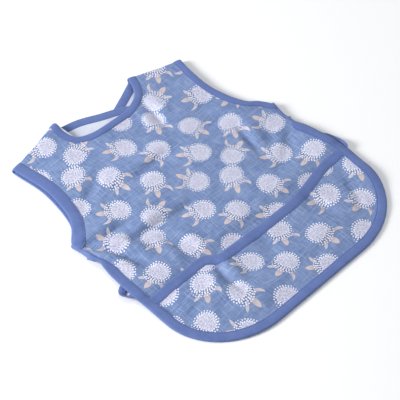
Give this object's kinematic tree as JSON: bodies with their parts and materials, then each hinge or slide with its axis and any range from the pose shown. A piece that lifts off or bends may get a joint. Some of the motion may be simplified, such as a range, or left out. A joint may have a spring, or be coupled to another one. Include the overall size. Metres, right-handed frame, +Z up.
{
  "type": "toddler apron bib",
  "caption": "Sleeveless toddler apron bib lying flat, with bound edges, a full-width catch pocket, crossed back flaps with a touch closure, and side ties.",
  "frame": {"origin": "middle of the garment's width and length, on the table that it lies on", "axes": "+X across the garment, to the right as seen from above the front with the neck away; +Y from the hem to the neck; +Z up, out of the front"},
  "size_m": [0.382, 0.424, 0.0135],
  "materials": {
    "printed_cloth": "coated woven polyester, floral print outside, white inside",
    "binding": "matt woven bias binding",
    "closure": "hook and loop tape",
    "lining": "white waterproof coating on cloth",
    "thread": "polyester sewing thread"
  },
  "bodies": {
    "front": {"front_panel": "printed_cloth", "back_yoke_right": "printed_cloth", "back_yoke_left": "printed_cloth", "neck_binding": "binding", "armhole_binding_right": "binding", "armhole_binding_left": "binding", "hem_binding": "binding", "pocket_panel": "printed_cloth", "pocket_binding": "binding", "tie_stub_right": "binding", "tie_stub_left": "binding"},
    "back_flap_right": {"back_flap_right": "printed_cloth", "flap_binding_right": "binding", "closure_hook_patch": "closure"},
    "back_flap_left": {"back_flap_left": "printed_cloth", "flap_binding_left": "binding", "closure_loop_patch": "closure"},
    "tie_right": {"tie_right": "binding"},
    "tie_left": {"tie_left": "binding"}
  },
  "joints": [
    {"name": "back_flap_right_swing", "type": "hinge", "parent": "front", "child": "back_flap_right", "pos_m": [0.062, 0.212, 0.001], "axis": [0.5132, -0.8583, 0], "range_deg": [0, 120]},
    {"name": "back_flap_left_swing", "type": "hinge", "parent": "front", "child": "back_flap_left", "pos_m": [-0.062, 0.212, 0.0042], "axis": [0.5132, 0.8583, 0], "range_deg": [0, 30]},
    {"name": "tie_right_swing", "type": "hinge", "parent": "front", "child": "tie_right", "pos_m": [0.191, -0.038, 0.0021], "axis": [0, -1, 0], "range_deg": [0, 170]},
    {"name": "tie_left_swing", "type": "hinge", "parent": "front", "child": "tie_left", "pos_m": [-0.191, -0.038, 0.0021], "axis": [0, 1, 0], "range_deg": [0, 170]}
  ],
  "couplings": [
    {"joint": "back_flap_left_swing", "follows": "back_flap_right_swing", "ratio": 0.25}
  ]
}
